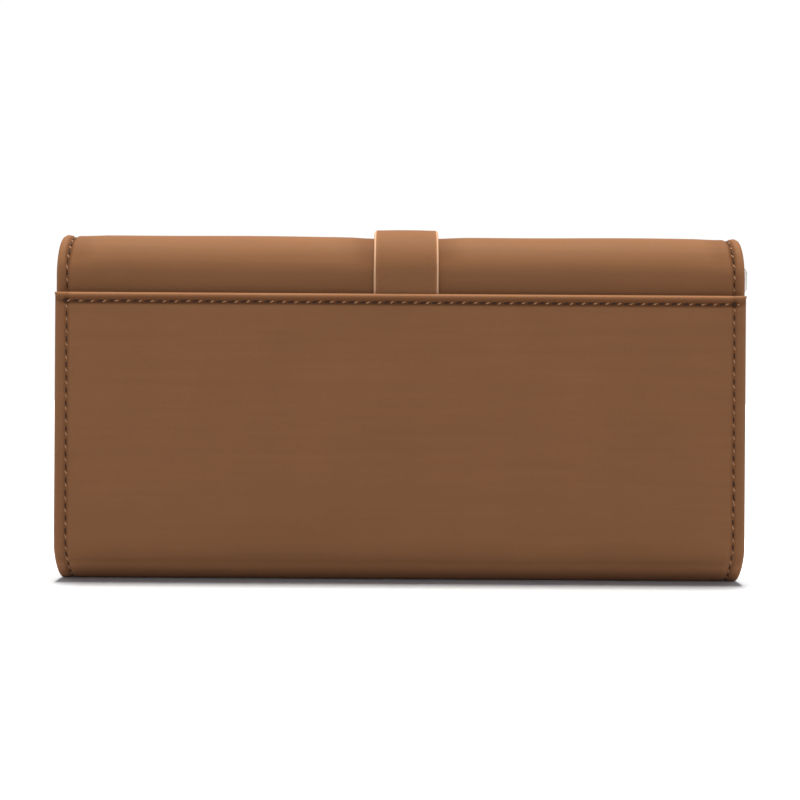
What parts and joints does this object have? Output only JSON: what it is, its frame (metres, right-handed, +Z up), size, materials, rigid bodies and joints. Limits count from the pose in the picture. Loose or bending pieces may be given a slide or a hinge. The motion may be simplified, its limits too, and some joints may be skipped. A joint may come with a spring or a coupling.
{
  "type": "long wallet",
  "caption": "Long flap wallet with a slip pocket on its back, a padded roll over the top and a strap that runs over the roll and closes the flap on a press snap.",
  "frame": {"origin": "middle of the base, where the wallet stands", "axes": "+Z up, +X along the length, the slip pocket on the back at -Y and the flap at +Y"},
  "size_m": [0.1947, 0.0299, 0.0987],
  "materials": {
    "leather": "satin",
    "strap_leather": "satin",
    "board": "matte",
    "foam": "matte",
    "lining": "matte",
    "zip_tape": "matte",
    "metal": "polished"
  },
  "bodies": {
    "body": {"outer_panel": "leather", "back_panel": "leather", "back_board": "board", "back_lining": "lining", "front_board": "board", "front_lining": "lining", "base_lining": "lining", "gusset_rear_left": "lining", "gusset_rear_right": "lining", "gusset_front_left": "lining", "gusset_front_right": "lining", "pouch_back_wall": "lining", "pouch_front_wall": "leather", "pouch_floor": "lining", "pouch_side_left": "lining", "pouch_side_right": "lining", "pouch_top_band": "leather", "zip_end_tab_left": "leather", "zip_end_tab_right": "leather", "zip_tape_lower": "zip_tape", "zip_tape_upper": "zip_tape", "zip_chain_lower": "metal", "zip_chain_upper": "metal", "zip_stops": "metal", "snap_post": "metal", "snap_stud": "metal", "strap_anchor": "strap_leather"},
    "roll_rear": {"roll_leather_rear": "leather", "roll_foam_rear": "foam", "roll_lining_rear": "lining", "strap_over_rear": "strap_leather"},
    "roll_front": {"roll_leather_front": "leather", "roll_foam_front": "foam", "roll_lining_front": "lining", "strap_over_front": "strap_leather"},
    "flap": {"flap_leather": "leather", "flap_board": "board", "flap_lining": "lining", "strap_on_flap": "strap_leather", "card_slot_left_1": "leather", "card_slot_left_2": "leather", "card_slot_left_3": "leather", "card_slot_right_1": "leather", "card_slot_right_2": "leather", "card_slot_right_3": "leather"},
    "strap": {"strap_tongue": "strap_leather", "snap_socket": "metal", "snap_cap": "metal"},
    "slider": {"zip_slider": "metal"},
    "puller": {"zip_puller": "metal"}
  },
  "joints": [
    {"name": "roll_rear_fold", "type": "hinge", "parent": "body", "child": "roll_rear", "pos_m": [0, -0.01258, 0.0869], "axis": [1, 0, 0], "range_deg": [0, 60]},
    {"name": "roll_top_fold", "type": "hinge", "parent": "roll_rear", "child": "roll_front", "pos_m": [0, 0.0016, 0.0988], "axis": [1, 0, 0], "range_deg": [0, 60]},
    {"name": "flap_fold", "type": "hinge", "parent": "roll_front", "child": "flap", "pos_m": [0, 0.01578, 0.0869], "axis": [1, 0, 0], "range_deg": [0, 60]},
    {"name": "strap_lift", "type": "hinge", "parent": "flap", "child": "strap", "pos_m": [0.0015, 0.016, 0.078], "axis": [1, 0, 0], "range_deg": [0, 150]},
    {"name": "slider_travel", "type": "slide", "parent": "body", "child": "slider", "axis": [-1, 0, 0], "range_m": [0, 0.161]},
    {"name": "puller_swing", "type": "hinge", "parent": "slider", "child": "puller", "pos_m": [0.082, 0.00385, 0.0853], "axis": [0, 0, 1], "range_deg": [0, 20]}
  ],
  "couplings": [
    {"joint": "roll_rear_fold", "follows": "flap_fold", "ratio": 1},
    {"joint": "roll_top_fold", "follows": "flap_fold", "ratio": 1}
  ]
}
